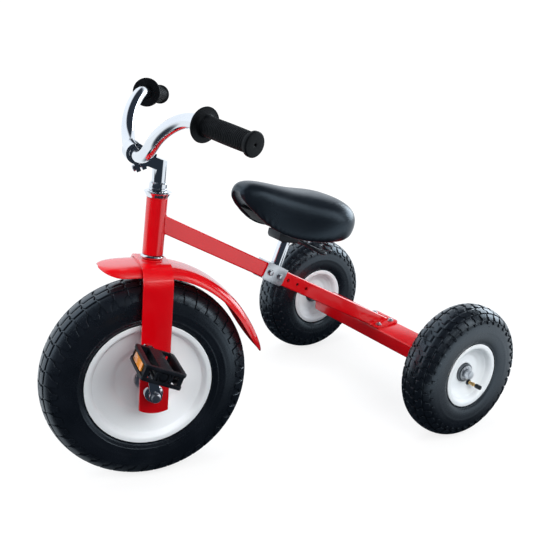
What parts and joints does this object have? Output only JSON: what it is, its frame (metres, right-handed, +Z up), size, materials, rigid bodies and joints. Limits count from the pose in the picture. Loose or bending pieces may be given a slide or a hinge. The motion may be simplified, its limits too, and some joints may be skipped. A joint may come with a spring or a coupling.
{
  "type": "child's pedal tricycle",
  "caption": "Pedal tricycle with air-filled tyres, a straight square main tube, a strap fork that steers, direct pedals on the front axle, a mudguard and a padded saddle on a sliding bracket.",
  "frame": {"origin": "on the ground, in the front tyre's contact patch, straight below the middle of the front wheel", "axes": "+Z up, the tricycle faces -Y, +X is the rider's left; the rear axle runs along X; the steering is turned 14.9 degrees to the rider's right, as in the picture"},
  "size_m": [0.5851, 0.8539, 0.6784],
  "materials": {
    "red_paint": "high gloss enamel",
    "white_paint": "gloss enamel",
    "chrome": "polished",
    "zinc": "zinc plated",
    "dark_steel": "dark, oiled",
    "tyre_rubber": "satin",
    "grip_rubber": "matte",
    "black_plastic": "moulded",
    "saddle_vinyl": "smooth satin vinyl",
    "amber_plastic": "clear amber",
    "brass": "turned"
  },
  "bodies": {
    "frame": {"head_tube": "red_paint", "main_tube": "red_paint", "axle_flange": "red_paint", "axle_beam": "red_paint", "lower_headset_cup": "chrome", "upper_headset_cup": "chrome", "seat_post": "chrome", "seat_bracket": "zinc", "seat_bolt_front": "zinc", "seat_bolt_rear": "zinc", "rear_axle": "zinc", "axle_washer_left": "zinc", "axle_washer_right": "zinc", "cotter_pin_left": "zinc", "cotter_pin_right": "zinc", "flange_bolt_front_left": "zinc", "flange_bolt_front_right": "zinc", "flange_bolt_rear_left": "zinc", "flange_bolt_rear_right": "zinc", "saddle_frame": "dark_steel", "saddle_spring_left": "dark_steel", "saddle_spring_right": "dark_steel", "saddle_clamp": "black_plastic", "saddle_pan": "black_plastic", "saddle": "saddle_vinyl"},
    "steering": {"fork": "red_paint", "mudguard": "red_paint", "headset_locknut": "chrome", "stem": "chrome", "bar_clamp_bolt": "zinc", "handlebar": "chrome", "grip_left": "grip_rubber", "grip_right": "grip_rubber", "bearing_cup_left": "chrome", "bearing_cup_right": "chrome"},
    "front_wheel": {"front_tyre": "tyre_rubber", "front_rim": "white_paint", "front_hub": "zinc", "front_valve": "brass", "front_axle": "zinc", "crank_left": "chrome", "crank_right": "chrome", "crank_bolt_left": "zinc", "crank_bolt_right": "zinc", "pedal_spindle_left": "dark_steel", "pedal_spindle_right": "dark_steel"},
    "pedal_left_body": {"pedal_left": "black_plastic", "pedal_reflector_front_left": "amber_plastic", "pedal_reflector_rear_left": "amber_plastic"},
    "pedal_right_body": {"pedal_right": "black_plastic", "pedal_reflector_front_right": "amber_plastic", "pedal_reflector_rear_right": "amber_plastic"},
    "rear_wheel_left": {"rear_tyre_left": "tyre_rubber", "rear_rim_left": "white_paint", "rear_hub_left": "dark_steel", "rear_valve_left": "brass"},
    "rear_wheel_right": {"rear_tyre_right": "tyre_rubber", "rear_rim_right": "white_paint", "rear_hub_right": "dark_steel", "rear_valve_right": "brass"}
  },
  "joints": [
    {"name": "steering_turn", "type": "hinge", "parent": "frame", "child": "steering", "pos_m": [0, -0.00401, 0.1819], "axis": [0, 0.1478, 0.989], "range_deg": [-30.1, 59.9]},
    {"name": "front_wheel_spin", "type": "hinge", "parent": "steering", "child": "front_wheel", "pos_m": [0.00108, 0, 0.1813], "axis": [0.9664, -0.2543, 0.038], "continuous": true},
    {"name": "pedal_spin_left", "type": "hinge", "parent": "front_wheel", "child": "pedal_left_body", "pos_m": [0.14239, -0.04352, 0.27276], "axis": [0.9664, -0.2543, 0.038], "continuous": true},
    {"name": "pedal_spin_right", "type": "hinge", "parent": "front_wheel", "child": "pedal_right_body", "pos_m": [-0.14023, 0.04352, 0.08984], "axis": [0.9664, -0.2543, 0.038], "continuous": true},
    {"name": "rear_wheel_spin_left", "type": "hinge", "parent": "frame", "child": "rear_wheel_left", "pos_m": [0.2358, 0.5448, 0.13], "axis": [1, 0, 0], "continuous": true},
    {"name": "rear_wheel_spin_right", "type": "hinge", "parent": "frame", "child": "rear_wheel_right", "pos_m": [-0.2358, 0.5448, 0.13], "axis": [1, 0, 0], "continuous": true}
  ]
}
